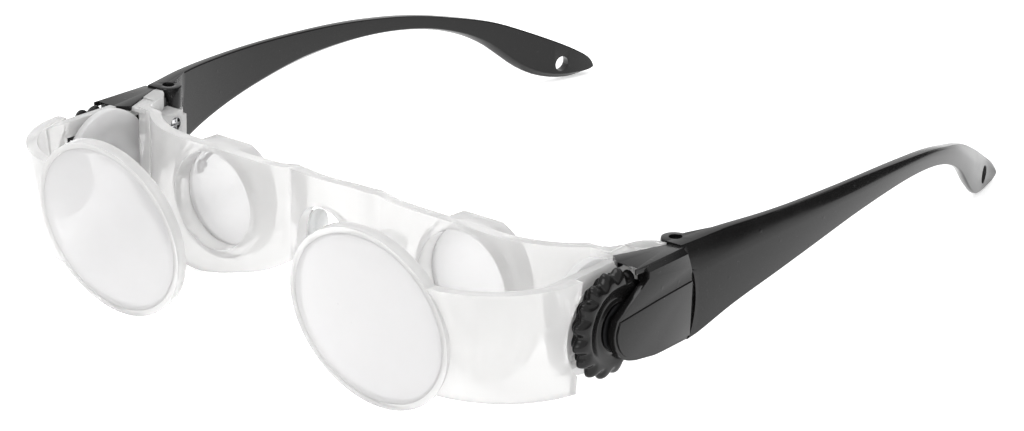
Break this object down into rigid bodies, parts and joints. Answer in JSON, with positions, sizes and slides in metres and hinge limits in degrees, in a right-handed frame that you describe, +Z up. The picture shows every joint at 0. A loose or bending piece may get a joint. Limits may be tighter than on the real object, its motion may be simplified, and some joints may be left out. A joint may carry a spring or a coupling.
{
  "type": "binocular glasses",
  "caption": "Head-worn binocular glasses: a clear frame with eyepieces, objectives that slide on cams when a side wheel is turned, and folding black temples.",
  "frame": {"origin": "on the surface that the glasses stand on, below the middle of the part's box, on the plane of symmetry", "axes": "+X to the wearer's left, +Y back towards the ears, +Z up"},
  "size_m": [0.1478, 0.1928, 0.0368],
  "materials": {
    "clear_plastic": "clear, slightly milky acrylic, moulded glossy",
    "lens": "polished clear acrylic",
    "silicone": "soft clear silicone, satin",
    "black_plastic": "black, semi-gloss moulded",
    "steel": "bright steel",
    "dark_steel": "blackened steel"
  },
  "bodies": {
    "frame": {"rear_frame": "clear_plastic", "eyepiece_lens_left": "lens", "eyepiece_lens_right": "lens", "nose_pad_left": "silicone", "nose_pad_right": "silicone", "friction_washer_left": "steel", "friction_washer_right": "steel", "axle_screw_left": "dark_steel", "axle_screw_right": "dark_steel", "end_piece_left": "black_plastic", "end_piece_right": "black_plastic", "end_piece_screws_left": "steel", "end_piece_screws_right": "steel", "hinge_pin_left": "steel", "hinge_pin_right": "steel"},
    "carrier_left": {"front_carrier_left": "clear_plastic", "objective_lens_left": "lens", "cam_follower_left": "steel"},
    "wheel_left": {"focus_wheel_left": "black_plastic", "cam_disc_left": "clear_plastic"},
    "temple_left": {"temple_left": "black_plastic"},
    "carrier_right": {"front_carrier_right": "clear_plastic", "objective_lens_right": "lens", "cam_follower_right": "steel"},
    "wheel_right": {"focus_wheel_right": "black_plastic", "cam_disc_right": "clear_plastic"},
    "temple_right": {"temple_right": "black_plastic"}
  },
  "joints": [
    {"name": "focus_turn_left", "type": "hinge", "parent": "frame", "child": "wheel_left", "pos_m": [0.0666, -0.06524, 0.01822], "axis": [1, 0, 0], "range_deg": [0, 240]},
    {"name": "focus_slide_left", "type": "slide", "parent": "frame", "child": "carrier_left", "axis": [0, -1, 0], "range_m": [0, 0.0048]},
    {"name": "temple_fold_left", "type": "hinge", "parent": "frame", "child": "temple_left", "pos_m": [0.0653, -0.04314, 0.01822], "axis": [0, 0, 1], "range_deg": [0, 90]},
    {"name": "focus_turn_right", "type": "hinge", "parent": "frame", "child": "wheel_right", "pos_m": [-0.0666, -0.06524, 0.01822], "axis": [1, 0, 0], "range_deg": [0, 240]},
    {"name": "focus_slide_right", "type": "slide", "parent": "frame", "child": "carrier_right", "axis": [0, -1, 0], "range_m": [0, 0.0048]},
    {"name": "temple_fold_right", "type": "hinge", "parent": "frame", "child": "temple_right", "pos_m": [-0.0653, -0.04314, 0.01822], "axis": [0, 0, -1], "range_deg": [0, 82]}
  ],
  "couplings": [
    {"joint": "focus_turn_left", "follows": "focus_slide_left", "rad_per_m": 872.66},
    {"joint": "focus_turn_right", "follows": "focus_slide_right", "rad_per_m": 872.66}
  ]
}
